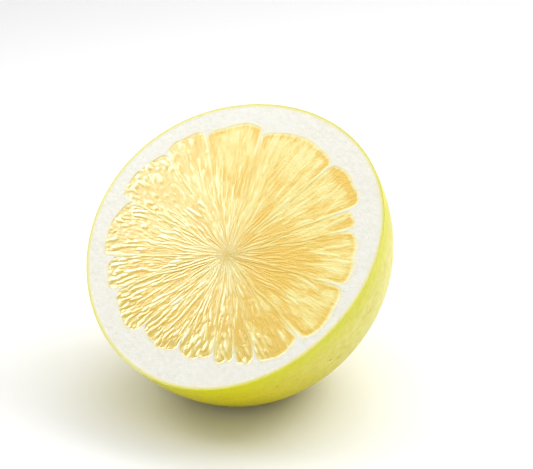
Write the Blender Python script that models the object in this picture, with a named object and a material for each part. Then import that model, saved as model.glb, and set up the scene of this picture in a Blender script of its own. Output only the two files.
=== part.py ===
"""Half of a pomelo, cut across, lying on its rind with the cut face leaning back.

The skin is a thin green shell. Inside it the white pith holds a core and a thin wall between
each two segments, and every segment's pulp is a body of its own, with its juice sacs standing
out of the cut face. The half rests on a small spot where the rind is pressed flat.

The pieces are made in the fruit's own frame, with the cut plane at z = 0 and the blossom end
below it. One empty then leans that frame back and sets it down round the origin, on z = 0.
"""

import math

import bmesh
import bpy
from mathutils import Matrix, Vector

# The body, in metres and degrees
CUT_RADIUS = 0.0760  # of the cut face, skin included
BODY_DEPTH = 0.0880  # from the cut plane to the blossom end
BODY_SQUARENESS = 2.3  # 2 is an ellipse, and more is fuller between the face and the end
THREE_SIDED = 0.0011  # how far the round outline bulges on its three faint sides
THREE_SIDED_AT = 35.0
END_DIMPLE_DEPTH = 0.0022
END_DIMPLE_RADIUS = 0.0100
BODY_SIDES = 48
BODY_RINGS = 28

# How it lies
LEAN = 43.7  # of the cut face, from level
PRESSED_FLAT = 0.0030  # height of rind taken up by the spot it rests on

# The layers
SKIN_THICKNESS = 0.0012
GAP = 0.0003  # between neighbouring pieces
WALL_THICKNESS = 0.0008  # of the membrane between two segments
CORE_AT = (0.0029, -0.0089)  # of the core in the cut face, from the face's centre
CORE_RADIUS = 0.0032
LEAST_TIP_WIDTH = 0.0010  # of a segment where it meets the core

# The segments: where each begins, in degrees round the core, and how far its pulp reaches out
SEGMENTS = (
    (24, 0.0635),
    (34, 0.0690),
    (58, 0.0695),
    (96, 0.0730),
    (121, 0.0750),
    (139, 0.0740),
    (164, 0.0680),
    (192, 0.0625),
    (210, 0.0590),
    (237, 0.0540),
    (263, 0.0530),
    (284, 0.0550),
    (296, 0.0575),
    (306, 0.0605),
    (328, 0.0635),
    (357, 0.0640),
)
SHOULDER_DROP = 0.0050  # from a segment's outermost point down to its two corners
SHOULDER_ROUNDNESS = 2.6
PULP_DEPTH = 0.0740
PULP_SQUARENESS = 2.2
PULP_RIM = 0.0030  # height of the pulp's upright outer wall under the cut face

FACE_ROWS = 12  # of the grid over a segment's cut face
WALL_ROWS = 6  # of the grid over its wall towards the rind

# The juice sacs that stand out of the cut face, each with its tip towards the core
SAC_WIDTH = 0.0050
SAC_LENGTH = 0.0250
SAC_LIFT = 0.0011  # of a sac's crest above the cut plane
SAC_SINK = 0.0006  # of the furrows between sacs, and of the edges, below it
SAC_FULLEST = 0.62  # share of the length, from the tip, at which a sac is highest
SAC_STAGGER = 0.45  # of a length, from one line of sacs to the next
SAC_FADE = 0.4  # share of the segment, from the core, over which the sacs rise to full height

SHARP_ANGLE = 40.0
CUTTER_CLEARANCE = 0.0060  # how far a cutter runs past what it cuts
FLOOR_CUTTER_SIDE = 0.3000

# Of each material: colour, roughness and metallic value
LOOKS = {
    "skin": ((0.62, 0.60, 0.06), 0.38, 0.0),
    "pith": ((0.90, 0.88, 0.78), 0.80, 0.0),
    "pulp": ((0.92, 0.70, 0.26), 0.22, 0.0),
}


def clear_scene():
    for old in list(bpy.data.objects):
        bpy.data.objects.remove(old)


def new_collection(name):
    collection = bpy.data.collections.new(name)
    bpy.context.scene.collection.children.link(collection)
    return collection


def new_material(name):
    colour, roughness, metallic = LOOKS[name]
    material = bpy.data.materials.new(name)
    material.use_nodes = True
    shader = material.node_tree.nodes["Principled BSDF"]
    shader.inputs["Base Color"].default_value = (*colour, 1.0)
    shader.inputs["Roughness"].default_value = roughness
    shader.inputs["Metallic"].default_value = metallic
    return material


def finished_mesh(name, shape):
    """The mesh of a closed shape, with its faces pointing out and smooth but for its edges."""
    bmesh.ops.recalc_face_normals(shape, faces=shape.faces)
    mesh = bpy.data.meshes.new(name)
    shape.to_mesh(mesh)
    shape.free()
    mesh.shade_smooth()
    mesh.set_sharp_from_angle(angle=math.radians(SHARP_ANGLE))
    return mesh


def new_object(name, mesh, collection, material=None):
    piece = bpy.data.objects.new(name, mesh)
    collection.objects.link(piece)
    if material:
        mesh.materials.append(material)
    return piece


def superellipse(share, exponent):
    """The height over a quarter of a superellipse, at a share from 0 to 1 of its half width."""
    return (1.0 - min(share, 1.0) ** exponent) ** (1.0 / exponent)


# The body


def body_point(direction, inset):
    """The point of the rind in a unit direction, a little inside it by the inset."""
    angle = math.atan2(direction.y, direction.x)
    radius = CUT_RADIUS - inset + THREE_SIDED * math.cos(3 * (angle - math.radians(THREE_SIDED_AT)))
    depth = BODY_DEPTH - inset
    if direction.z > -1e-4:
        around = Vector((math.cos(angle), math.sin(angle), 0.0)) * radius
        return around + Vector((0.0, 0.0, CUTTER_CLEARANCE * (direction.z > 1e-4)))
    latitude = math.asin(-direction.z)
    out = radius * math.cos(latitude) ** (2 / BODY_SQUARENESS)
    down = depth * math.sin(latitude) ** (2 / BODY_SQUARENESS)
    down -= END_DIMPLE_DEPTH * math.exp(-((out / END_DIMPLE_RADIUS) ** 2))
    return Vector((out * math.cos(angle), out * math.sin(angle), -down))


def body_mesh(name, inset):
    """A closed body that runs a little above the cut plane, from a sphere's lower half."""
    shape = bmesh.new()
    bmesh.ops.create_uvsphere(shape, u_segments=BODY_SIDES, v_segments=BODY_RINGS, radius=1.0)
    top_ring = math.sin(math.pi / BODY_RINGS) + 1e-4
    upper = [vertex for vertex in shape.verts if vertex.co.z > top_ring]
    bmesh.ops.delete(shape, geom=upper, context="VERTS")
    for vertex in shape.verts:
        vertex.co = body_point(vertex.co.normalized(), inset)
    rim = [edge for edge in shape.edges if edge.is_boundary]
    bmesh.ops.contextual_create(shape, geom=rim)
    return finished_mesh(name, shape)


def resting_place():
    """The matrix that leans the fruit back and sets its middle over the origin, pressed flat."""
    lean = Matrix.Rotation(math.radians(LEAN), 4, "X")
    places = [vertex.co for vertex in body_mesh("measured", 0.0).vertices]
    places = [lean @ place for place in places if place.z < CUTTER_CLEARANCE / 2]
    middle = [(min(place[axis] for place in places) + max(place[axis] for place in places)) / 2 for axis in (0, 1)]
    lowest = min(place.z for place in places)
    return Matrix.Translation((-middle[0], -middle[1], -lowest - PRESSED_FLAT)) @ lean


def box_cutter(name, size, centre, cutters):
    shape = bmesh.new()
    bmesh.ops.create_cube(shape, size=1.0, matrix=Matrix.Translation(centre) @ Matrix.Diagonal((*size, 1.0)))
    return as_cutter(new_object(name, finished_mesh(name, shape), cutters))


def as_cutter(piece):
    piece.hide_render = True
    piece.display_type = "WIRE"
    return piece


def cut(piece, cutter):
    modifier = piece.modifiers.new("cut by " + cutter.name, "BOOLEAN")
    modifier.operation = "DIFFERENCE"
    modifier.object = cutter


# A segment's pulp


def segment_shape(index, grow):
    """A function that gives the point at a share across the segment and a share out along it."""
    start, reach = SEGMENTS[index]
    end = SEGMENTS[(index + 1) % len(SEGMENTS)][0]
    span = math.radians((end - start) % 360)
    first = math.radians(start)
    inset = WALL_THICKNESS / 2 + GAP - grow
    full_inset = WALL_THICKNESS / 2 + GAP
    inner = max(CORE_RADIUS, (2 * full_inset + LEAST_TIP_WIDTH) / span) - grow

    def point(across, along):
        shoulder = superellipse(abs(2 * across - 1), SHOULDER_ROUNDNESS)
        outer = reach - SHOULDER_DROP * (1 - shoulder) + grow
        radius = inner + (outer - inner) * along
        aside = math.asin(min(1.0, inset / radius))
        angle = first + aside + (span - 2 * aside) * across
        return Vector((radius * math.cos(angle), radius * math.sin(angle), 0.0))

    return point


def follow_core(point):
    """The core runs from its place in the cut face to the middle of the blossom end."""
    share = 1.0 + point.z / BODY_DEPTH
    return point + Vector((CORE_AT[0] * share, CORE_AT[1] * share, 0.0))


def columns_of(index):
    """Two columns of the grid for each line of sacs across the segment's outer edge."""
    start, reach = SEGMENTS[index]
    end = SEGMENTS[(index + 1) % len(SEGMENTS)][0]
    width = reach * math.radians((end - start) % 360)
    return 2 * max(2, round(width / SAC_WIDTH))


def sac_height(index, column, row):
    """The relief of the cut face: a line of sacs on every second column of the grid."""
    if column % 2 == 0 or row in (0, FACE_ROWS):
        return -SAC_SINK
    along = row / FACE_ROWS
    lengths = along * SEGMENTS[index][1] / SAC_LENGTH + column // 2 * SAC_STAGGER
    fullness = math.sin(math.pi * (lengths % 1.0) ** (math.log(0.5) / math.log(SAC_FULLEST)))
    return -SAC_SINK + (SAC_LIFT + SAC_SINK) * fullness * min(1.0, along / SAC_FADE)


def add_grid(shape, columns, rows, place):
    """Faces over a grid of places, and its vertices, column by column."""
    grid = []
    for column in range(columns + 1):
        grid.append([shape.verts.new(follow_core(place(column, row))) for row in range(rows + 1)])
    for left, right in zip(grid, grid[1:]):
        for row in range(rows):
            shape.faces.new((left[row], left[row + 1], right[row + 1], right[row]))
    return grid


def pulp_mesh(name, index, grow, face_height):
    """A segment between its cut face and its wall towards the rind, closed round the sides."""
    columns = columns_of(index)
    point = segment_shape(index, grow)

    def on_face(column, row):
        return point(column / columns, row / FACE_ROWS) + Vector((0.0, 0.0, face_height(column, row)))

    def on_wall(column, row):
        along = math.sin(row / WALL_ROWS * math.pi / 2)
        drop = grow + PULP_RIM + (PULP_DEPTH - PULP_RIM) * superellipse(along, PULP_SQUARENESS)
        return point(column / columns, along) - Vector((0.0, 0.0, drop))

    shape = bmesh.new()
    face = add_grid(shape, columns, FACE_ROWS, on_face)
    wall = add_grid(shape, columns, WALL_ROWS, on_wall)
    for side in (0, columns):
        shape.faces.new((*face[side], *reversed(wall[side])))
    for end in (0, -1):
        for column in range(columns):
            upper = (face[column][end], face[column + 1][end])
            shape.faces.new((*upper, wall[column + 1][end], wall[column][end]))
    return finished_mesh(name, shape)


# The pieces


def make_skin(pieces, cutters, above_cut, stand):
    skin = new_object("skin", body_mesh("skin", 0.0), pieces, new_material("skin"))
    hollow = as_cutter(new_object("skin_hollow", body_mesh("skin_hollow", SKIN_THICKNESS), cutters))
    cut(hollow, floor_cutter("floor_in_skin", SKIN_THICKNESS, cutters, stand))
    cut(skin, floor_cutter("floor_under_skin", 0.0, cutters, stand))
    cut(skin, above_cut)
    cut(skin, hollow)


def make_pith(pieces, cutters, above_cut, stand):
    inset = SKIN_THICKNESS + GAP
    pith = new_object("pith", body_mesh("pith", inset), pieces, new_material("pith"))
    cut(pith, floor_cutter("floor_under_pith", inset, cutters, stand))
    cut(pith, above_cut)
    return pith


def floor_cutter(name, height, cutters, stand):
    """A block whose top is level and this high above the floor, placed in the fruit's frame."""
    side = FLOOR_CUTTER_SIDE
    centre = (0.0, 0.0, height - side / 2)
    cutter = box_cutter(name, (side, side, side), centre, cutters)
    cutter.matrix_local = stand.matrix_world.inverted()
    return cutter


def make_pulps(pieces, pith):
    material = new_material("pulp")
    rooms = new_collection("rooms for the pulp")
    for index in range(len(SEGMENTS)):
        number = f"{index + 1:02d}"
        mesh = pulp_mesh("pulp_" + number, index, 0.0, lambda column, row: sac_height(index, column, row))
        new_object("pulp_" + number, mesh, pieces, material)
        mesh = pulp_mesh("room_" + number, index, GAP, lambda column, row: CUTTER_CLEARANCE)
        as_cutter(new_object("room_" + number, mesh, rooms))
    modifier = pith.modifiers.new("rooms for the pulp", "BOOLEAN")
    modifier.operation = "DIFFERENCE"
    modifier.operand_type = "COLLECTION"
    modifier.collection = rooms


def main():
    clear_scene()
    pieces = new_collection("pomelo half")
    cutters = new_collection("cutters")
    stand = new_object("stand", None, pieces)
    stand.matrix_world = resting_place()
    side = 4 * CUT_RADIUS
    above_cut = box_cutter("above_cut", (side, side, side), (0.0, 0.0, side / 2), cutters)
    make_skin(pieces, cutters, above_cut, stand)
    pith = make_pith(pieces, cutters, above_cut, stand)
    make_pulps(pieces, pith)
    for piece in bpy.data.objects:
        if piece is not stand:
            piece.parent = stand


main()
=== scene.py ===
import math

import bmesh
import bpy
import numpy as np
from mathutils import Matrix, Vector


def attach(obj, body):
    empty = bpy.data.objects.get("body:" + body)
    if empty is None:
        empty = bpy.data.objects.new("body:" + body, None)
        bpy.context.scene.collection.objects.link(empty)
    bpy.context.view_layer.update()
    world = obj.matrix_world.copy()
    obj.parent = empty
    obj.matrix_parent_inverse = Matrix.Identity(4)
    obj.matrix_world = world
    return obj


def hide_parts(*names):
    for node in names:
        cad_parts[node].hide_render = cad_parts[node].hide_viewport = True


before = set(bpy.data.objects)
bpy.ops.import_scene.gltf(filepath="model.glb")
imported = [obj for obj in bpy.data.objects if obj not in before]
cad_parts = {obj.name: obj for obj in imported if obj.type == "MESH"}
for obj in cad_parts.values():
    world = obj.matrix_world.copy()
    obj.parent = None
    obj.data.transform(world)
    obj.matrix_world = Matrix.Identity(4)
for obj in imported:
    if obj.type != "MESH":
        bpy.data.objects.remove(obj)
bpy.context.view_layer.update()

# The half fruit, in metres and degrees. Its own frame has the cut plane at z = 0 and the blossom
# end below it, and leans back on the floor.
CUT_RADIUS = 0.0760  # of the cut face, skin included
BODY_DEPTH = 0.0880  # from the cut plane to the blossom end
BODY_SQUARENESS = 2.3  # 2 is an ellipse, and more is fuller between the face and the end
THREE_SIDED = 0.0011  # how far the outline bulges in three directions
THREE_SIDED_AT = 35.0  # direction of the first of them
END_DIMPLE_DEPTH = 0.0022
END_DIMPLE_RADIUS = 0.0100
LEAN = 43.7  # of the cut face, from level
FACE_CENTRE = Vector((0.000285, -0.014673, 0.083669))  # where its middle stands, over the floor
SKIN_THICKNESS = 0.0011
CORE_AT = (0.0029, -0.0089)  # of the core in the cut face, from the face's centre

# Each segment: the angle at which it begins, round the core, and how far its flesh reaches
SEGMENTS = (
    (24, 0.0635),
    (34, 0.0690),
    (58, 0.0695),
    (96, 0.0730),
    (121, 0.0750),
    (139, 0.0740),
    (164, 0.0680),
    (192, 0.0625),
    (210, 0.0590),
    (237, 0.0540),
    (263, 0.0530),
    (284, 0.0550),
    (296, 0.0575),
    (306, 0.0605),
    (328, 0.0635),
    (357, 0.0640),
)
SHOULDER_DROP = 0.0050  # from a segment's outermost point down to its two corners
SHOULDER_ROUNDNESS = 2.6
PULP_DEPTH = 0.0740  # of a segment where it meets the core
PULP_RIM = 0.0030  # and at its outer end
PULP_SQUARENESS = 2.2

# The fine forms. Heights are over the cut plane.
MEMBRANE = 0.0003  # thickness of the wall between two segments
MEMBRANE_LIFT = 0.00004  # how far its dried edge stands over the lips of the rooms beside it
MEMBRANE_WAVE = 0.0006  # how far it strays to either side of its straight line
LONG_WAVE, SHORT_WAVE = 0.0085, 0.0036  # lengths of its two waves, over twice pi
WAVE_RISE = (0.0045, 0.0195)  # radii between which the waves set in
WAVE_FALL = (0.040, 0.052)  # and between which they fade again
THIN_WITHIN = 0.014  # radius inside which the walls thin out
THIN_SHARE = 0.3  # of their thickness, that is left at the core
CORE_RADIUS = 0.0008
LEAST_TIP_WIDTH = 0.0002  # of a segment where it meets the core
LOBE_WAVE = 0.0005  # of the ripples in a segment's outer end
SLACK = 0.00003  # between the flesh and its room
LIP = 0.00010  # how far the lip of a room reaches in from its wall, over the flesh
LIP_TOP = 0.00001  # height of its edge
LIP_FOOT = -0.00005  # and of the line where its underside meets the wall
FLESH_EDGE = -0.00002  # height of the flesh's outline
CALM_EDGE = 0.0005  # the pith is level this near its borders, and its swells rise over as much
MEMBRANE_FADE = (10 / 11, 1.0)  # shares of a wall's length between which it turns white

# How fine the meshes are
FACE_GRAIN = 0.00042  # spacing of the points along a segment
LOBE_GRAIN = 0.000525  # and across its outer end
WALL_GRAIN = 4  # the flesh's hidden walls have one point for this many of its face
ROOM_ROWS = 40  # along the rooms of the flesh
RING_ROWS = 20  # across the white ring
UNDER_RINGS = 36  # on the pith, under the skin
RIND_COLUMNS = 320  # round the rind
RIND_RINGS = 190  # on its outside
RIND_INNER_RINGS = 40
RIND_CALM_RINGS = 3  # the rings beside the cut, over which its dimples set in
SHARP_FROM = 60.0  # an edge that turns by more than this is shaded as sharp

# Patches of deeper gold in the flesh: angle and radius round the core, their spreads, and strength
GOLD_PATCHES = (
    (-12.0, 0.022, 17.0, 0.016, 1.0),
    (14.0, 0.030, 9.0, 0.020, 0.6),
    (40.0, 0.022, 12.0, 0.014, 0.5),
    (217.0, 0.021, 9.0, 0.012, 0.9),
    (238.0, 0.050, 28.0, 0.008, 1.0),
    (300.0, 0.040, 20.0, 0.014, 0.35),
    (150.0, 0.050, 12.0, 0.010, 0.3),
    (67.0, 0.024, 5.0, 0.006, 0.9),
    (57.0, 0.011, 10.0, 0.005, 0.9),
    (151.0, 0.011, 5.0, 0.008, 1.0),
    (51.0, 0.0652, 4.5, 0.0024, 1.3),
    (41.0, 0.0660, 4.0, 0.0022, 0.8),
)
LOBE_GOLD = 0.8  # strength of the band of deeper gold along a segment's outer end
LOBE_GOLD_AT = 0.0020  # its distance from the outline
LOBE_GOLD_SPREAD = 0.0014
LOBE_GOLD_RISE = (0.7667, 0.9333)  # shares of a segment's length between which it sets in
FRINGE = 0.0012  # width of the pale fringe where the flesh joins the white
FRINGE_RISE = (0.775, 0.900)  # shares of the length between which it sets in at the sides
CORE_GOLD = 0.003  # radius of the darker spot at the core
STREAK_RADIUS = 0.030  # radius at which the flesh's streaks have their true width
STREAK_GAP = 0.1  # between one segment's streaks and the next one's, in the noise they come from

# The juice on the flesh, and the sacs that stand up in it like beads
WET_SIDE = 222.0  # direction, round the core, in which the juice stands
WET_FROM = -0.003  # distance from the core, in that direction, about which it sets in
WET_SPREAD = 0.012  # how gradually it does
LEAST_WET = 0.15
BEADS_RISE = (7 / 18, 17 / 18)  # wetness between which the beads set in
BEADS_AT = 0.005  # where most of them are, from a segment's outer end
BEADS_SPREAD = 0.007
LEAST_BEADS = 0.2  # share of them far from there

# Two small spots on the rind, a pale one and a dark one: where they are over the floor, their sizes and
# their colours
RIND_SPOTS = (
    ((0.0609, -0.0274, 0.0378), 0.0016, (244, 226, 150)),
    ((0.0615, -0.0284, 0.0393), 0.0010, (150, 138, 20)),
)
SPOT_RAGGED = 0.0018  # how far their edges stray


def superellipse(share, exponent):
    """Falls from 1 to 0 as a share grows from 0 to 1, in a rounded curve."""
    return (1.0 - np.minimum(share, 1.0) ** exponent) ** (1.0 / exponent)


def rise(values, low, high):
    """0 below low, 1 above high, and a straight rise between them."""
    return np.clip((values - low) / (high - low), 0.0, 1.0)


def to_floor(places):
    """Turns points of the fruit's own frame into the frame that stands on the floor."""
    lean = math.radians(LEAN)
    x, y, z = np.moveaxis(np.asarray(places, float), -1, 0)
    turned = (x, y * math.cos(lean) - z * math.sin(lean), y * math.sin(lean) + z * math.cos(lean))
    return np.stack(turned, axis=-1) + np.array(FACE_CENTRE)


def follow_core(places):
    """Slants points with the core, which runs to the middle of the blossom end."""
    share = 1.0 + places[..., 2:] / BODY_DEPTH
    shift = np.concatenate([CORE_AT[0] * share, CORE_AT[1] * share, np.zeros_like(share)], axis=-1)
    return places + shift


# Meshes


class Surface:
    """A closed mesh, gathered grid by grid."""

    def __init__(self):
        self.places = []
        self.faces = []
        self.count = 0

    def add(self, places):
        """Adds points and gives their numbers, in the layout of the array."""
        places = np.asarray(places, float)
        numbers = self.count + np.arange(places[..., 0].size).reshape(places.shape[:-1])
        self.places.append(places.reshape(-1, 3))
        self.count += numbers.size
        return numbers

    def grid(self, numbers):
        """Fills a grid of point numbers with faces."""
        corners = (numbers[:-1, :-1], numbers[1:, :-1], numbers[1:, 1:], numbers[:-1, 1:])
        self.faces += np.stack([corner.ravel() for corner in corners], axis=1).tolist()

    def between(self, first, second):
        """Joins two lines of as many points."""
        self.grid(np.stack([first, second], axis=1))

    def stitch(self, fine, coarse):
        """Joins two lines of which the second has one point for several of the first's."""
        step = (len(fine) - 1) // (len(coarse) - 1)
        half = step // 2
        for number, (start, end) in enumerate(zip(coarse.tolist(), coarse.tolist()[1:])):
            part = fine[number * step:(number + 1) * step + 1].tolist()
            pairs = list(zip(part, part[1:]))
            self.faces += [(a, b, start) for a, b in pairs[:half]]
            self.faces.append((start, part[half], end))
            self.faces += [(a, b, end) for a, b in pairs[half:]]

    def fan(self, loop, middle):
        """Fills a closed line of points from one point in its middle."""
        self.faces += [(a, b, middle) for a, b in zip(loop.tolist(), np.roll(loop, -1).tolist())]

    def mesh(self, name):
        """The gathered mesh, with its faces outwards."""
        mesh = bpy.data.meshes.new(name)
        mesh.from_pydata(np.concatenate(self.places).tolist(), [], self.faces)
        shape = bmesh.new()
        shape.from_mesh(mesh)
        bmesh.ops.recalc_face_normals(shape, faces=shape.faces)
        shape.to_mesh(mesh)
        shape.free()
        mesh.shade_smooth()
        mesh.set_sharp_from_angle(angle=math.radians(SHARP_FROM))
        return mesh


def new_object(name, data):
    piece = bpy.data.objects.new(name, data)
    bpy.context.scene.collection.objects.link(piece)
    return piece


def give(mesh, name, values):
    """Stores one number, or one vector, for each point of a mesh."""
    values = np.asarray(values, np.float32)
    kind, key = ("FLOAT_VECTOR", "vector") if values.ndim > 1 else ("FLOAT", "value")
    mesh.attributes.new(name, kind, "POINT").data.foreach_set(key, values.ravel())


def set_down(mesh, lowest):
    """Stands a mesh on the floor, and presses it flat where it would reach below a height."""
    places = np.empty(len(mesh.vertices) * 3, np.float32)
    mesh.vertices.foreach_get("co", places)
    places = to_floor(places.reshape(-1, 3)).astype(np.float32)
    places[:, 2] = np.maximum(places[:, 2], lowest)
    mesh.vertices.foreach_set("co", places.ravel())
    mesh.update()


def stand_for(piece, slot, *nodes):
    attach(piece, "root")
    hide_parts(*nodes)


# The outlines of the segments


def membrane_bend(number, radius):
    """The angle by which a wall strays from its straight line at a radius."""
    phase = 2.4 * (number % len(SEGMENTS))
    fade = rise(radius, *WAVE_RISE) * (1.0 - rise(radius, *WAVE_FALL))
    stray = np.sin(radius / LONG_WAVE + phase) + 0.5 * np.sin(radius / SHORT_WAVE + 2.0 * phase)
    return MEMBRANE_WAVE * stray * fade / np.maximum(radius, 0.002)


def segment(index, across, along, inset):
    """Radius and angle round the core, at shares across and along a segment."""
    start, reach = SEGMENTS[index]
    end = SEGMENTS[(index + 1) % len(SEGMENTS)][0]
    first, span = math.radians(start), math.radians((end - start) % 360)
    middle = np.abs(2.0 * across - 1.0)
    ripple = np.sin(9.0 * across + 1.7 * index) + 0.25 * np.sin(21.0 * across + 2.9 * index)
    ripple = LOBE_WAVE * ripple * (1.0 - middle**2)
    outer = reach - SHOULDER_DROP * (1.0 - superellipse(middle, SHOULDER_ROUNDNESS)) + ripple
    outer = outer + MEMBRANE / 2 - inset
    inner = max(CORE_RADIUS, (2 * inset * THIN_SHARE + LEAST_TIP_WIDTH) / span)
    radius = inner + (outer - inner) * along
    aside = np.arcsin(inset * np.clip(radius / THIN_WITHIN, THIN_SHARE, 1.0) / radius)
    bend = membrane_bend(index, radius) * (1.0 - across) + membrane_bend(index + 1, radius) * across
    return radius, first + aside + (span - 2.0 * aside) * across + bend


def face_columns(index):
    """The shares across a segment at which its flesh has points."""
    start, reach = SEGMENTS[index]
    end = SEGMENTS[(index + 1) % len(SEGMENTS)][0]
    width = reach * math.radians((end - start) % 360)
    steps = max(4, round(width / LOBE_GRAIN / WALL_GRAIN)) * WALL_GRAIN
    return np.linspace(0.0, 1.0, steps + 1)


def room_columns(index):
    """The shares across a segment at which its room has points: more of them in the corners."""
    shares = face_columns(index)
    number = np.arange(len(shares))
    corner = np.minimum(number, number[::-1]) < WALL_GRAIN
    return shares[corner | (number % 2 == 0)]


def distance_to_outline(places):
    """How far each point of a grid is from the grid's outline."""
    outline = np.concatenate([places[0], places[1:, -1], places[-1, -2::-1], places[-2:0:-1, 0]])
    run = np.roll(outline, -1, axis=0) - outline
    length = np.maximum((run * run).sum(axis=1), 1e-16)  # squared, and never 0
    distance = np.empty(places.shape[:2])
    for column, line in enumerate(places):
        away = line[:, None] - outline
        share = np.clip((away * run).sum(axis=2) / length, 0.0, 1.0)
        away = away - share[..., None] * run
        distance[column] = np.sqrt((away * away).sum(axis=2).min(axis=1))
    return distance


def on_cut(radius, angle, height=0.0):
    """Points over the cut plane, given by radius and angle round the core."""
    height = np.broadcast_to(height, np.shape(radius))
    return follow_core(np.stack([radius * np.cos(angle), radius * np.sin(angle), height], axis=-1))


def add_opening(surface, index, across, along, inset, height):
    """Adds the lines round a segment's room: at the core, at the lobe, and the two sides."""
    tip, lobe = (
        surface.add(on_cut(*segment(index, across, np.full_like(across, share), inset), height))
        for share in (0.0, 1.0)
    )
    sides = []
    for share, edge in ((0.0, 0), (1.0, -1)):
        line = segment(index, np.full(len(along) - 2, share), along[1:-1], inset)
        line = surface.add(on_cut(*line, height))
        sides.append(np.concatenate([[tip[edge]], line, [lobe[edge]]]))
    return tip, lobe, *sides


def room_wall(radius, angle, along, inset):
    """The wall of a segment towards the rind, under the points of its cut face."""
    drop = PULP_RIM + (PULP_DEPTH - PULP_RIM) * superellipse(along, PULP_SQUARENESS)
    return on_cut(radius, angle, inset - MEMBRANE / 2 - drop)


# Node trees


class Value:
    """A number that a node gives. Arithmetic on it adds the nodes that work it out."""

    def __init__(self, tree, socket):
        self.tree, self.socket = tree, socket

    def math(self, operation, *others):
        return self.tree.value("ShaderNodeMath", {"operation": operation}, {
            number: value for number, value in enumerate((self, *others))
        })

    def __add__(self, other):
        return self.math("ADD", other)

    __radd__ = __add__

    def __mul__(self, other):
        return self.math("MULTIPLY", other)

    __rmul__ = __mul__

    def __sub__(self, other):
        return self.math("SUBTRACT", other)

    def __rsub__(self, other):
        return (self * -1.0) + other

    def __truediv__(self, other):
        return self.math("DIVIDE", other)

    def __rtruediv__(self, other):
        return self.tree.value("ShaderNodeMath", {"operation": "DIVIDE"}, {0: other, 1: self})

    def __pow__(self, other):
        return self.math("POWER", other)

    def clamped(self):
        return self.tree.value("ShaderNodeClamp", {}, {"Value": self})

    def smooth(self, low, high):
        """0 below low, 1 above high, and a smooth rise between them."""
        settings = {"interpolation_type": "SMOOTHSTEP"}
        return self.tree.value(
            "ShaderNodeMapRange", settings, {"Value": self, "From Min": low, "From Max": high}
        )


class Tree:
    """Adds nodes to a node tree, each from its type, its settings and its sockets' values."""

    def __init__(self, tree):
        self.tree = tree

    def node(self, kind, settings=None, sockets=None):
        made = self.tree.nodes.new(kind)
        for name, value in (settings or {}).items():
            if name == "stops":
                self.set_stops(made.color_ramp, value)
            else:
                setattr(made, name, value)
        for name, value in (sockets or {}).items():
            socket = made.inputs[name]
            if isinstance(value, Value):
                value = value.socket
            if isinstance(value, bpy.types.NodeSocket):
                self.tree.links.new(value, socket)
            else:
                socket.default_value = value
        return made

    def value(self, kind, settings=None, sockets=None, output=0):
        return Value(self, self.node(kind, settings, sockets).outputs[output])

    def apart(self, vector):
        """The three numbers of a vector."""
        made = self.node("ShaderNodeSeparateXYZ", {}, {"Vector": vector})
        return [Value(self, socket) for socket in made.outputs]

    @staticmethod
    def set_stops(ramp, stops):
        for place, _ in stops[len(ramp.elements):]:
            ramp.elements.new(place)
        for element, (place, colour) in zip(ramp.elements, stops):
            element.position = place
            element.color = colour


class Look(Tree):
    """A material's nodes, round one Principled shader."""

    def __init__(self, name, **constants):
        self.material = bpy.data.materials.new(name)
        self.material.use_nodes = True
        super().__init__(self.material.node_tree)
        self.shader = self.tree.nodes["Principled BSDF"]
        for socket, value in constants.items():
            self.shader.inputs[socket.replace("_", " ")].default_value = value

    def feed(self, socket, value):
        value = value.socket if isinstance(value, Value) else value
        self.tree.links.new(value, self.shader.inputs[socket])

    def place(self):
        return self.node("ShaderNodeTexCoord").outputs["Object"]

    def attribute(self, name):
        return Value(self, self.node("ShaderNodeAttribute", {"attribute_name": name}).outputs["Fac"])

    def vector_attribute(self, name, stretch):
        source = self.node("ShaderNodeAttribute", {"attribute_name": name}).outputs["Vector"]
        return self.node("ShaderNodeMapping", {}, {"Vector": source, "Scale": stretch}).outputs[0]

    def noise(self, vector, scale, detail=3.0, roughness=0.5):
        sockets = {"Vector": vector, "Scale": scale, "Detail": detail, "Roughness": roughness}
        return self.value("ShaderNodeTexNoise", {}, sockets)

    def ramp(self, value, stops):
        return self.node("ShaderNodeValToRGB", {"stops": stops}, {"Fac": value}).outputs["Color"]

    def mix(self, share, first, second):
        sockets = {"Factor": share, 6: first, 7: second}
        return self.node("ShaderNodeMix", {"data_type": "RGBA"}, sockets).outputs[2]

    def bump(self, height, distance):
        sockets = {"Height": height, "Distance": distance, "Strength": 1.0}
        self.feed("Normal", self.node("ShaderNodeBump", {}, sockets).outputs["Normal"])


def linear(red, green, blue):
    """A colour given as it is seen on a screen, from 0 to 255, as the light that it sends back."""
    shares = [channel / 255.0 for channel in (red, green, blue)]
    light = [s / 12.92 if s <= 0.04045 else ((s + 0.055) / 1.055) ** 2.4 for s in shares]
    return (*light, 1.0)


# What Geometry Nodes make


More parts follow.
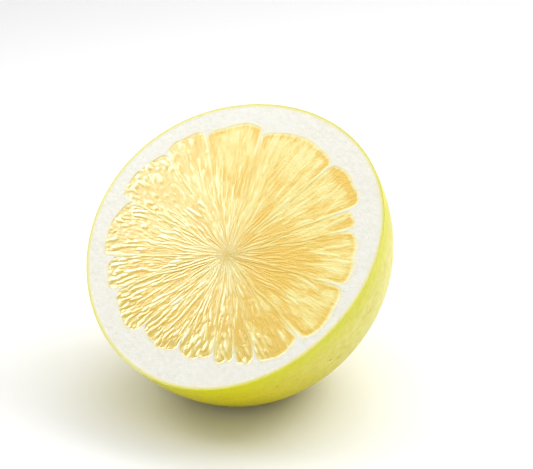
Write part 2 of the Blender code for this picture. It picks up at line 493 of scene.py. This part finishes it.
class Maker(Tree):
    """A Geometry Nodes tree with named inputs, and a modifier that runs it."""

    KINDS = {float: "NodeSocketFloat", int: "NodeSocketInt", bpy.types.Material: "NodeSocketMaterial"}

    def __init__(self, name, inputs):
        super().__init__(bpy.data.node_groups.new(name, "GeometryNodeTree"))
        self.values = inputs
        face = self.tree.interface
        face.new_socket("Geometry", in_out="INPUT", socket_type="NodeSocketGeometry")
        for key, value in inputs.items():
            face.new_socket(key, in_out="INPUT", socket_type=self.KINDS[type(value)])
        face.new_socket("Geometry", in_out="OUTPUT", socket_type="NodeSocketGeometry")
        self.given = self.tree.nodes.new("NodeGroupInput")

    def input(self, name):
        return Value(self, self.given.outputs[name])

    def position(self):
        return self.node("GeometryNodeInputPosition").outputs[0]

    def named(self, name):
        return self.value("GeometryNodeInputNamedAttribute", {"data_type": "FLOAT"}, {"Name": name})

    def random(self, low, high, seed):
        sockets = {2: low, 3: high, "Seed": seed}
        return self.value("FunctionNodeRandomValue", {"data_type": "FLOAT"}, sockets, output=1)

    def vector(self, x, y, z):
        return self.node("ShaderNodeCombineXYZ", {}, {"X": x, "Y": y, "Z": z}).outputs[0]

    def keep(self, geometry, name, value):
        sockets = {"Geometry": geometry, "Name": name, "Value": value}
        settings = {"data_type": "FLOAT", "domain": "POINT"}
        return self.node("GeometryNodeStoreNamedAttribute", settings, sockets).outputs[0]

    def move(self, geometry, offset):
        sockets = {"Geometry": geometry, "Offset": offset}
        return self.node("GeometryNodeSetPosition", {}, sockets).outputs[0]

    def end(self, geometry):
        """Gives the result its material and hands it out."""
        geometry = self.node("GeometryNodeRealizeInstances", {}, {"Geometry": geometry}).outputs[0]
        sockets = {"Geometry": geometry, "Material": self.input("Material")}
        geometry = self.node("GeometryNodeSetMaterial", {}, sockets).outputs[0]
        result = self.tree.nodes.new("NodeGroupOutput")
        self.tree.links.new(geometry, result.inputs[0])

    def run(self, piece, **changes):
        """Runs the tree on a piece and leaves the result as its plain mesh."""
        modifier = piece.modifiers.new(self.tree.name, "NODES")
        modifier.node_group = self.tree
        for item in self.tree.interface.items_tree:
            if item.in_out == "INPUT" and item.name in self.values:
                key = item.name.replace(" ", "_")
                modifier[item.identifier] = changes.get(key, self.values[item.name])
        depsgraph = bpy.context.evaluated_depsgraph_get()
        mesh = bpy.data.meshes.new_from_object(piece.evaluated_get(depsgraph))
        piece.modifiers.clear()
        piece.data = mesh
        return piece


def juice_sacs_tree(material):
    """Packs tapered juice sacs over a cut face and drapes the face over them."""
    maker = Maker("juice sacs", {
        "Sac Length": 0.020,
        "Sac Width": 0.0023,
        "Crest Height": 0.00020,
        "Crest Spread": 0.00030,
        "Lowest": -0.00040,
        "True Width Radius": 0.030,
        "Bend": 0.9,
        "Bend Scale": 45.0,
        "Stray": 0.0030,
        "Stray Scale": 90.0,
        "Spacing": 0.0020,
        "Density": 400000.0,
        "Bead Length": 0.0085,
        "Bead Width": 0.0026,
        "Bead Height": 0.00085,
        "Bead Spacing": 0.0023,
        "Lump Size": 0.0030,
        "Lump Height": 0.00045,
        "Relief": 0.42,
        "Wet Relief": 0.10,
        "Calm Radius": 0.016,
        "Rim Width": 0.0005,
        "Seed": 1,
        "Material": material,
    })
    body = maker.given.outputs["Geometry"]
    share = maker.named("face_share")
    seed = maker.input("Seed")

    sphere = maker.node("GeometryNodeMeshUVSphere", {}, {"Segments": 10, "Rings": 10, "Radius": 1.0})
    sx, sy, sz = maker.apart(maker.position())
    taper = ((sz + 1.0) * 0.5) ** 0.55 - 1.0
    sac = maker.move(sphere.outputs["Mesh"], maker.vector(sx * taper, sy * taper, 0.0))

    def sown(density, spacing, length, width, crest, number):
        """Lays tapered sacs that point away from the core. The number sets its random draws apart."""
        points = maker.node("GeometryNodeDistributePointsOnFaces", {"distribute_method": "POISSON"}, {
            "Mesh": body,
            "Selection": share.math("GREATER_THAN", 0.5),
            "Distance Min": spacing,
            "Density Max": maker.input("Density"),
            "Density Factor": density,
            "Seed": seed + number,
        }).outputs["Points"]
        x, y, _ = maker.apart(maker.position())
        x, y = x - CORE_AT[0], y - CORE_AT[1]
        radius = (x * x + y * y).math("SQRT")
        bend = maker.value("ShaderNodeTexNoise", {}, {
            "Vector": maker.position(), "Scale": maker.input("Bend Scale"), "Detail": 1.0,
        })
        turn = y.math("ARCTAN2", x) + (bend - 0.5) * maker.input("Bend")
        turn = turn + maker.random(-0.16, 0.16, seed + number + 1)
        length = (length * maker.random(0.5, 1.4, seed + number + 2)).math("MINIMUM", radius * 1.7)
        slim = (radius / maker.input("True Width Radius")).math("MINIMUM", 2.0) ** 0.6
        width = width * maker.random(0.6, 1.3, seed + number + 3) * slim
        points = maker.keep(points, "sac_shade", maker.random(0.0, 1.0, seed + number + 5))
        points = maker.move(points, maker.vector(0.0, 0.0, crest - width * 0.5))
        level = maker.random(-0.03, 0.03, seed + number + 6)
        heading = maker.vector(turn.math("COSINE"), turn.math("SINE"), level)
        return maker.node("GeometryNodeInstanceOnPoints", {}, {
            "Points": points,
            "Instance": sac,
            "Rotation": maker.node(
                "FunctionNodeAlignRotationToVector", {"axis": "Z"}, {"Vector": heading}
            ).outputs[0],
            "Scale": maker.vector(width * 0.5, width * 0.5, length * 0.5),
        }).outputs[0]

    spread = maker.random(-1.0, 0.3, seed + 4) * maker.input("Crest Spread")
    crest = maker.input("Crest Height") + spread
    sacs = sown(1.0, maker.input("Spacing"), maker.input("Sac Length"), maker.input("Sac Width"),
                crest, 0)
    crest = maker.input("Bead Height") * maker.random(0.4, 1.0, seed + 7)
    beads = sown(maker.named("beads"), maker.input("Bead Spacing"), maker.input("Bead Length"),
                 maker.input("Bead Width"), crest, 20)
    joined = maker.node("GeometryNodeJoinGeometry")
    for part in (sacs, beads):
        maker.tree.links.new(part, joined.inputs[0])
    sacs = maker.node("GeometryNodeRealizeInstances", {}, {"Geometry": joined.outputs[0]}).outputs[0]
    stray = maker.node("ShaderNodeTexNoise", {}, {
        "Vector": maker.position(), "Scale": maker.input("Stray Scale"), "Detail": 1.0,
    }).outputs["Color"]
    aside = maker.apart(stray)
    reach = maker.input("Stray")
    sacs = maker.move(sacs, maker.vector((aside[0] - 0.5) * reach, (aside[1] - 0.5) * reach, 0.0))

    # the face, seen from straight above, takes the height of the sac under each of its points
    px, py, pz = maker.apart(maker.position())
    above = 0.01
    settings = {"data_type": "FLOAT", "mapping": "NEAREST"}
    ray = maker.node("GeometryNodeRaycast", settings, {
        "Target Geometry": sacs,
        "Attribute": maker.named("sac_shade"),
        "Source Position": maker.vector(px, py, above),
        "Ray Direction": (0.0, 0.0, -1.0),
        "Ray Length": above * 2.0,
    })
    hit = Value(maker, ray.outputs["Is Hit"])
    lowest = maker.input("Lowest")
    height = above - Value(maker, ray.outputs["Hit Distance"])
    height = (height * hit + (1.0 - hit) * lowest).math("MAXIMUM", lowest)
    ease = (maker.named("rim_distance") / maker.input("Rim Width")).smooth(0.15, 1.0)
    tallest = maker.input("Crest Height") + maker.input("Crest Spread") * 0.5
    crest_share = ((height - lowest) / (tallest - lowest)).clamped()
    shade = Value(maker, ray.outputs["Attribute"]) * hit + (1.0 - hit) * 0.5
    geometry = maker.keep(body, "sac_shade", shade)
    geometry = maker.keep(geometry, "crest", crest_share * ease)
    lumps = maker.value("ShaderNodeTexNoise", {}, {
        "Vector": maker.position(), "Scale": 1.0 / maker.input("Lump Size"), "Detail": 1.0,
    })
    height = height + (lumps - 0.5) * maker.input("Lump Height") * maker.named("wet")
    near_x, near_y = px - CORE_AT[0], py - CORE_AT[1]
    from_core = (near_x * near_x + near_y * near_y).math("SQRT")
    relief = maker.input("Relief") + maker.input("Wet Relief") * maker.named("wet")
    relief = relief * (0.2 + 0.8 * from_core.smooth(0.0, maker.input("Calm Radius")))
    geometry = maker.move(geometry, maker.vector(0.0, 0.0, (height * relief - pz) * ease * share))
    maker.end(geometry)
    return maker


# The flesh


def gold_at(radius, angle):
    """How deep the gold is at places on the cut: 0 is none, and a patch of strength 1 gives 1."""
    gold = np.zeros_like(radius)
    for middle, distance, spread, depth, strength in GOLD_PATCHES:
        turn = (np.degrees(angle) - middle + 180.0) % 360.0 - 180.0
        gold += strength * np.exp(-((turn / spread) ** 2) - ((radius - distance) / depth) ** 2)
    return gold


def wet_at(radius, angle):
    """How wet and uneven the flesh is at places on the cut, at most 1."""
    ahead = radius * np.cos(angle - math.radians(WET_SIDE))
    return LEAST_WET + (1.0 - LEAST_WET) / (1.0 + np.exp((WET_FROM - ahead) / WET_SPREAD))


def beads_at(from_lobe, wet):
    """How many sacs stand up like beads: most of them close to the wet side's edge."""
    edge = np.exp(-(((from_lobe - BEADS_AT) / BEADS_SPREAD) ** 2))
    return rise(wet, *BEADS_RISE) * (LEAST_BEADS + (1.0 - LEAST_BEADS) * edge)


def make_flesh(index, sacs):
    inset = MEMBRANE / 2 + SLACK
    rows = round(SEGMENTS[index][1] / FACE_GRAIN / WALL_GRAIN) * WALL_GRAIN
    along = np.linspace(0.0, 1.0, rows + 1)
    across_face, along_face = np.meshgrid(face_columns(index), along, indexing="ij")
    radius, angle = segment(index, across_face, along_face, inset)
    surface = Surface()
    places = on_cut(radius, angle, FLESH_EDGE)
    face = surface.add(places)
    coarse = np.s_[::WALL_GRAIN, ::WALL_GRAIN]
    wall = surface.add(room_wall(radius[coarse], angle[coarse], along_face[coarse], inset))
    surface.grid(face)
    surface.grid(wall)
    for side in (0, -1):
        surface.stitch(face[side], wall[side])
        surface.stitch(face[:, side], wall[:, side])
    name = f"flesh_{index + 1:02d}"
    mesh = surface.mesh(name)

    # what the sacs and the look need to know: a value for each point of the face, and 0 elsewhere
    wet = wet_at(radius, angle)
    rim = distance_to_outline(places[..., :2])
    from_lobe = radius[:, -1:] - radius
    band = np.exp(-(((rim - LOBE_GOLD_AT) / LOBE_GOLD_SPREAD) ** 2)) * rise(along_face, *LOBE_GOLD_RISE)
    band = band * (0.6 + 0.4 * np.sin(5.0 * across_face + index))
    fringe = np.exp(-((rim / FRINGE) ** 2)) * rise(along_face, *FRINGE_RISE)
    streaks = [angle * STREAK_RADIUS, radius, np.full_like(radius, STREAK_GAP * index)]
    for key, values in (
        ("rim_distance", rim),
        ("face_share", np.ones_like(rim)),
        ("streak_place", np.stack(streaks, axis=-1)),
        ("gold", gold_at(radius, angle) + LOBE_GOLD * band * (1.15 - wet)),
        ("wet", wet),
        ("beads", beads_at(from_lobe, wet)),
        ("fringe", np.maximum(fringe, np.exp(-((from_lobe / FRINGE) ** 2)))),
    ):
        all_values = np.zeros((surface.count, *values.shape[2:]))
        all_values[face] = values
        give(mesh, key, all_values)

    piece = sacs.run(new_object(name, mesh), Seed=10 * index + 3)
    set_down(piece.data, 0.0)
    stand_for(piece, "pulp", f"pulp_{index + 1:02d}")


def flesh_look():
    look = Look("wet citrus flesh", Subsurface_Weight=0.3, Subsurface_Scale=0.0008,
                Subsurface_Radius=(1.0, 0.85, 0.5), Coat_Roughness=0.06, IOR=1.36)
    place = look.place()
    fibres = look.noise(look.vector_attribute("streak_place", (1.0, 0.10, 1.0)), 1600.0, 3.0, 0.6)
    strands = look.noise(look.vector_attribute("streak_place", (1.0, 0.12, 1.0)), 480.0, 2.0, 0.5)
    broad = look.noise(place, 45.0, 2.0)
    patchy = look.noise(place, 190.0, 2.0)
    shade = look.attribute("sac_shade")
    crest = look.attribute("crest")
    wet = look.attribute("wet")
    # painted highlight and shade: the sacs' crests are painted paler, and the furrows between them deeper
    # gold, partly the flesh's own gold and partly painted shade
    tone = crest * 0.36 + shade * 0.20 + (fibres - 0.5) * 0.38 + (strands - 0.5) * 0.5
    tone = tone + (broad - 0.5) * 0.4 + (patchy - 0.5) * 0.2
    tone = tone - look.attribute("gold") * 0.45 + look.attribute("fringe") * 0.4
    # the wet side is a deeper gold, and its crests are painted paler again, a painted highlight
    tone = tone + 0.13 - wet * 0.24 + crest * wet * 0.16
    colour = look.ramp(tone, (
        (0.02, linear(240, 201, 80)),
        (0.28, linear(252, 235, 150)),
        (0.56, linear(255, 247, 194)),
        (0.85, linear(255, 253, 226)),
    ))
    # painted shade: the hollows between the bead sacs are painted olive
    painted_hollow_shade = (1.0 - crest) * look.attribute("beads")
    look.feed("Base Color", look.mix(painted_hollow_shade * 0.6, colour, linear(218, 200, 104)))
    look.feed("Roughness", 0.42 - wet * 0.26 + fibres * 0.20)
    look.feed("Coat Weight", wet.smooth(0.2, 0.8))
    look.bump(fibres + look.noise(place, 900.0, 2.0) * 0.5, 0.00035)
    return look.material


# The skin and the pith


def outline_radius(angle, inset):
    return CUT_RADIUS - inset + THREE_SIDED * np.cos(3.0 * (angle - math.radians(THREE_SIDED_AT)))


def bowl(angle, rings, inset):
    """The rounded side under the cut, ring by ring from the cut to just short of the pole."""
    latitude = np.linspace(0.0, 1.0, rings + 1)[:-1] * math.pi / 2
    angle, latitude = np.meshgrid(angle, latitude, indexing="ij")
    out = outline_radius(angle, inset) * np.cos(latitude) ** (2 / BODY_SQUARENESS)
    down = (BODY_DEPTH - inset) * np.sin(latitude) ** (2 / BODY_SQUARENESS)
    down = down - END_DIMPLE_DEPTH * np.exp(-((out / END_DIMPLE_RADIUS) ** 2))
    down = np.where(latitude == 0.0, 0.0, down)
    return np.stack([out * np.cos(angle), out * np.sin(angle), -down], axis=-1)


def pole(inset):
    return (0.0, 0.0, -(BODY_DEPTH - inset - END_DIMPLE_DEPTH))


def around(numbers):
    """Closes a line or a grid of point numbers into a ring."""
    return np.concatenate([numbers, numbers[:1]])


def make_skin(rind):
    angle = np.linspace(0.0, 2 * math.pi, RIND_COLUMNS + 1)[:-1]
    surface = Surface()
    outer = surface.add(bowl(angle, RIND_RINGS, 0.0))
    inner = surface.add(bowl(angle, RIND_INNER_RINGS, SKIN_THICKNESS))
    surface.grid(around(outer))
    surface.grid(around(inner))
    surface.between(around(outer[:, 0]), around(inner[:, 0]))
    surface.fan(outer[:, -1], int(surface.add(pole(0.0))))
    surface.fan(inner[:, -1], int(surface.add(pole(SKIN_THICKNESS))))
    mesh = surface.mesh("rind")
    outside = np.zeros(surface.count)
    outside[outer] = rise(np.arange(RIND_RINGS), 0, RIND_CALM_RINGS)
    give(mesh, "outside", outside)
    inside = np.zeros(surface.count)
    inside[inner] = 1.0
    give(mesh, "cut_edge", inside)
    give(mesh, "from_cut", -np.concatenate(surface.places)[:, 2])
    piece = rind.run(new_object("rind", mesh))
    set_down(piece.data, 0.0)
    stand_for(piece, "skin", "skin")


def rind_tree(material):
    """Gives the rind its faint swells and the dimples over its oil glands."""
    maker = Maker("pored rind", {
        "Dimple Spacing": 0.0024,
        "Dimple Depth": 0.00005,
        "Swell Size": 0.018,
        "Swell Height": 0.0004,
        "Material": material,
    })
    place = maker.position()
    dimples = maker.value("ShaderNodeTexVoronoi", {"feature": "SMOOTH_F1"}, {
        "Vector": place, "Scale": 1.0 / maker.input("Dimple Spacing"), "Smoothness": 0.6,
    })
    swells = maker.value("ShaderNodeTexNoise", {}, {
        "Vector": place, "Scale": 1.0 / maker.input("Swell Size"), "Detail": 1.0,
    })
    height = (dimples - 0.6) * maker.input("Dimple Depth") + (swells - 0.6) * maker.input("Swell Height")
    height = height * maker.named("outside")
    normal = maker.node("GeometryNodeInputNormal").outputs[0]
    offset = maker.node("ShaderNodeVectorMath", {"operation": "SCALE"}, {0: normal, "Scale": height})
    maker.end(maker.move(maker.given.outputs["Geometry"], offset.outputs[0]))
    return maker


def rind_look():
    look = Look("oily green-yellow rind", Subsurface_Weight=0.1, Subsurface_Scale=0.002,
                Subsurface_Radius=(1.0, 0.9, 0.2), IOR=1.5, Specular_IOR_Level=0.1)
    place = look.place()
    broad = look.noise(place, 22.0, 3.0)
    fine = look.noise(place, 260.0, 3.0)
    pores = look.value("ShaderNodeTexVoronoi", {"feature": "F1"}, {"Vector": place, "Scale": 620.0})
    tone = broad * 0.8 + fine * 0.5 - pores * 0.35
    colour = look.ramp(tone, (
        (0.20, linear(196, 182, 0)),
        (0.50, linear(213, 201, 2)),
        (0.80, linear(226, 215, 14)),
    ))
    from_cut = look.attribute("from_cut")
    x, _, z = look.apart(place)
    # darker olive away from the cut, less so on the right side: partly the rind's own deeper colour, partly
    # painted shade on the underside that faces away from the lamps
    deeper = from_cut.smooth(0.014, 0.050) * (0.3 + fine * 0.5 + broad * 0.3)
    deeper = deeper * (1.0 - x.smooth(0.015, 0.045) * 0.8)
    colour = look.mix(deeper, colour, linear(187, 175, 0))
    faint = (1.0 - x.smooth(-0.030, 0.020)) * (1.0 - from_cut.smooth(0.0, 0.004))
    colour = look.mix(faint * 0.7, colour, linear(242, 238, 188))
    # painted sheen: the rind is painted paler on its right side, where the lamps and the bright floor
    # behind it light it, from a little over the floor to below the top
    painted_sheen = x.smooth(0.020, 0.068) * z.smooth(0.012, 0.055) * (1.0 - z.smooth(0.075, 0.115))
    painted_sheen = painted_sheen * (0.8 + (fine - 0.5) * 1.4)
    colour = look.mix(painted_sheen, colour, linear(234, 227, 126))
    near_cut = 1.0 - from_cut.smooth(0.0, 0.016)
    colour = look.mix(near_cut * 0.65, colour, linear(220, 221, 16))
    for middle, size, shade in RIND_SPOTS:
        away = look.value("ShaderNodeVectorMath", {"operation": "DISTANCE"}, {0: place, 1: middle}, "Value")
        spot = 1.0 - (away + (fine - 0.5) * SPOT_RAGGED).smooth(size * 0.5, size)
        colour = look.mix(spot * 0.8, colour, linear(*shade))
    cut_edge = look.attribute("cut_edge")
    look.feed("Base Color", look.mix(cut_edge, colour, linear(250, 242, 176)))
    look.feed("Roughness", 0.22 + fine * 0.2)
    look.bump(pores.smooth(0.0, 0.45) + fine * 0.3, 0.00012)
    return look.material


def rim_place(places, inset):
    """Where the pith's rim is, as an angle round the axis, in line with the core and these places."""
    core = np.array(CORE_AT)
    heading = places[:, :2] - core
    heading = heading / np.linalg.norm(heading, axis=1)[:, None]
    ahead = heading @ core
    outline = CUT_RADIUS
    # the rim's radius changes with the angle, so the two are found by turns
    for _ in range(8):
        place = core + heading * (np.sqrt(ahead**2 - core @ core + outline**2) - ahead)[:, None]
        turn = np.arctan2(place[:, 1], place[:, 0])
        outline = outline_radius(turn, inset)
    return turn


def make_pith(sponge):
    inset = SKIN_THICKNESS + SLACK
    along = np.linspace(0.0, 1.0, ROOM_ROWS + 1)
    surface = Surface()
    openings, feet = [], []
    for index in range(len(SEGMENTS)):
        across = room_columns(index)
        across_room, along_room = np.meshgrid(across, along, indexing="ij")
        radius, angle = segment(index, across_room, along_room, MEMBRANE / 2)
        wall = surface.add(room_wall(radius, angle, along_room, MEMBRANE / 2))
        surface.grid(wall)
        upper = add_opening(surface, index, across, along, MEMBRANE / 2 + LIP, LIP_TOP)
        lower = add_opening(surface, index, across, along, MEMBRANE / 2, LIP_FOOT)
        for lip, foot, edge in zip(upper, lower, (wall[:, 0], wall[:, -1], wall[0], wall[-1])):
            surface.between(lip, foot)
            surface.between(foot, edge)
        openings.append(upper)
        feet += lower[2:]

    # the walls' upper edges, between each room and the next
    tips, lobes, crests = [], [], []
    places = np.concatenate(surface.places)
    for (tip, lobe, _, end), (_, _, start, _) in zip(openings, openings[1:] + openings[:1]):
        crest = (places[end] + places[start]) / 2
        crest[:, 2] += MEMBRANE_LIFT * np.sin(math.pi * along) ** 0.5
        crest = surface.add(crest)
        surface.between(end, crest)
        surface.between(crest, start)
        tips += [tip, crest[:1]]
        lobes += [lobe, crest[-1:]]
        crests.append(crest)
    centre = int(surface.add(on_cut(np.array(0.0), np.array(0.0))))
    surface.fan(np.concatenate(tips), centre)

    # the white ring, and the side under the skin
    inner = np.concatenate(lobes)
    first = np.concatenate(surface.places)[inner]
    outer = bowl(rim_place(first, inset), UNDER_RINGS, inset)
    numbers = surface.add(outer)
    surface.grid(around(numbers))
    surface.fan(numbers[:, -1], int(surface.add(pole(inset))))
    share = (0.5 - 0.5 * np.cos(np.linspace(0.0, math.pi, RING_ROWS + 1)))[1:-1]
    between = first[:, None] + (outer[:, :1] - first[:, None]) * share[None, :, None]
    ring = np.concatenate([inner[:, None], surface.add(between), numbers[:, :1]], axis=1)
    surface.grid(around(ring))

    mesh = surface.mesh("pith_and_membranes")
    places = np.concatenate(surface.places)
    on_top = np.zeros(surface.count)
    on_top[ring] = 1.0
    for name, edge in (("from_flesh", 0), ("from_rind", -1)):
        distance = np.ones(surface.count)
        away = places[ring] - places[ring[:, edge]][:, None]
        distance[ring] = np.linalg.norm(away, axis=-1)
        give(mesh, name, distance)
        on_top *= rise(distance, CALM_EDGE, 2 * CALM_EDGE)
    give(mesh, "face_share", on_top)
    membrane = np.zeros(surface.count)
    for line in (*crests, *feet, *(side for opening in openings for side in opening[2:])):
        membrane[line] = 1.0 - rise(along, *MEMBRANE_FADE)
    membrane[np.concatenate(tips)] = 1.0
    membrane[centre] = 1.0
    give(mesh, "membrane", membrane)
    x, y = places[:, 0] - CORE_AT[0], places[:, 1] - CORE_AT[1]
    radius = np.hypot(x, y)
    give(mesh, "gold", gold_at(radius, np.arctan2(y, x)) + np.exp(-((radius / CORE_GOLD) ** 2)))
    piece = sponge.run(new_object("pith_and_membranes", mesh))
    set_down(piece.data, inset)
    stand_for(piece, "pith", "pith")


def sponge_tree(material):
    """Raises and sinks the pith's cut face a little, as spongy tissue dries and swells."""
    maker = Maker("spongy pith", {
        "Coarse Size": 0.0060,
        "Coarse Height": 0.0003,
        "Fine Size": 0.0014,
        "Fine Height": 0.00012,
        "Material": material,
    })
    place = maker.position()
    height = 0.0
    for size in ("Coarse", "Fine"):
        noise = maker.value("ShaderNodeTexNoise", {}, {
            "Vector": place, "Scale": 1.0 / maker.input(size + " Size"), "Detail": 2.0,
        })
        height = (noise - 0.6) * maker.input(size + " Height") + height
    up = maker.vector(0.0, 0.0, height * maker.named("face_share"))
    maker.end(maker.move(maker.given.outputs["Geometry"], up))
    return maker


def pith_look():
    look = Look("spongy white pith", Subsurface_Weight=0.2, Subsurface_Scale=0.0006,
                Subsurface_Radius=(1.0, 0.95, 0.8), IOR=1.4)
    place = look.place()
    mottle = look.noise(place, 420.0, 4.0, 0.75)
    broad = look.noise(place, 40.0, 2.0)
    to_rind = 1.0 - look.attribute("from_rind").smooth(0.0, 0.0012)
    to_flesh = 1.0 - look.attribute("from_flesh").smooth(0.0, 0.0022)
    membrane = look.attribute("membrane")
    white = look.ramp(mottle * 0.75 + broad * 0.25, (
        (0.30, linear(234, 230, 213)),
        (0.50, linear(243, 241, 229)),
        (0.70, linear(249, 248, 241)),
    ))
    thin_wall = look.ramp(look.attribute("gold"), (
        (0.0, linear(253, 230, 138)),
        (1.0, linear(240, 196, 78)),
    ))
    tinted = look.mix(membrane, white, thin_wall)
    tinted = look.mix(to_flesh * 0.35, tinted, linear(252, 238, 176))
    look.feed("Base Color", look.mix(to_rind * 0.7, tinted, linear(246, 238, 150)))
    look.feed("Roughness", 0.55 + mottle * 0.25)
    look.bump(mottle, 0.00035)
    return look.material


# The camera, the floor and the light

CAMERA_AZIMUTH = 28.0
CAMERA_ELEVATION = 22.0
CAMERA_DISTANCE = 0.5746  # to the cut face's centre, along the view
CAMERA_ASIDE = (0.0183, 0.0014)  # to its right and up from it
LENS = 81.05
SENSOR_WIDTH = 36.0
FLOOR_SIZE = 8.0
ROOM_LIGHT = 0.46
CARD_SIZE = 0.75  # of the cards that only shine in wet surfaces
CARD_POWER = 12.0


def view_axes():
    """The directions to the camera's right, up, and back to it from the fruit."""
    azimuth, elevation = math.radians(CAMERA_AZIMUTH), math.radians(CAMERA_ELEVATION)
    right = Vector((math.cos(azimuth), math.sin(azimuth), 0.0))
    back = Vector((
        math.sin(azimuth) * math.cos(elevation),
        -math.cos(azimuth) * math.cos(elevation),
        math.sin(elevation),
    ))
    return right, back.cross(right), back


def make_camera():
    right, up, back = view_axes()
    data = bpy.data.cameras.new("camera")
    data.lens = LENS
    data.sensor_width = SENSOR_WIDTH
    camera = new_object("camera", data)
    place = FACE_CENTRE + CAMERA_ASIDE[0] * right + CAMERA_ASIDE[1] * up + CAMERA_DISTANCE * back
    turned = Matrix((right, up, back)).transposed().to_4x4()
    camera.matrix_world = Matrix.Translation(place) @ turned
    bpy.context.scene.camera = camera


def make_floor():
    bpy.ops.mesh.primitive_plane_add(size=FLOOR_SIZE)
    floor = bpy.context.object
    floor.name = "floor"
    look = Look("white paper", Base_Color=(0.95, 0.95, 0.95, 1.0), Roughness=0.9,
                Specular_IOR_Level=0.0)
    floor.data.materials.append(look.material)


def make_panel(name, place, size, power, target=FACE_CENTRE):
    """A square softbox that faces a point, the fruit unless another is given."""
    data = bpy.data.lights.new(name, "AREA")
    data.size = size
    data.energy = power
    panel = new_object(name, data)
    panel.location = place
    panel.rotation_euler = (Vector(target) - Vector(place)).to_track_quat("-Z", "Y").to_euler()
    return panel


def make_light():
    world = bpy.data.worlds.new("white room")
    bpy.context.scene.world = world
    world.use_nodes = True
    background = world.node_tree.nodes["Background"]
    background.inputs["Color"].default_value = (1.0, 1.0, 1.0, 1.0)
    background.inputs["Strength"].default_value = ROOM_LIGHT
    make_panel("top softbox", (-0.05, 0.05, 1.20), size=1.4, power=5.1)
    low = make_panel("low softbox", (0.12, -0.62, 0.24), size=0.3, power=0.26, target=(0.02, -0.05, 0.03))
    low.visible_camera = False
    low.visible_glossy = False
    make_panel("left softbox", (-0.60, -0.25, 0.75), size=0.4, power=1.6)
    make_panel("floor softbox", (0.45, 0.40, 0.60), size=0.5, power=2.8, target=(0.16, 0.15, 0.0))
    make_panel("back softbox", (-0.05, 1.90, 1.60), size=2.2, power=19.0, target=(-0.30, 1.60, 0.0))
    for name, place in (
        ("left card", (-0.83, -0.02, 0.55)),
        ("back card", (-0.41, 0.25, 0.90)),
    ):
        make_panel(name, place, CARD_SIZE, CARD_POWER).visible_diffuse = False
    bpy.context.scene.view_settings.view_transform = "Standard"


def main():
    make_camera()
    make_floor()
    make_light()
    sacs = juice_sacs_tree(flesh_look())
    for index in range(len(SEGMENTS)):
        make_flesh(index, sacs)
    make_pith(sponge_tree(pith_look()))
    make_skin(rind_tree(rind_look()))


main()
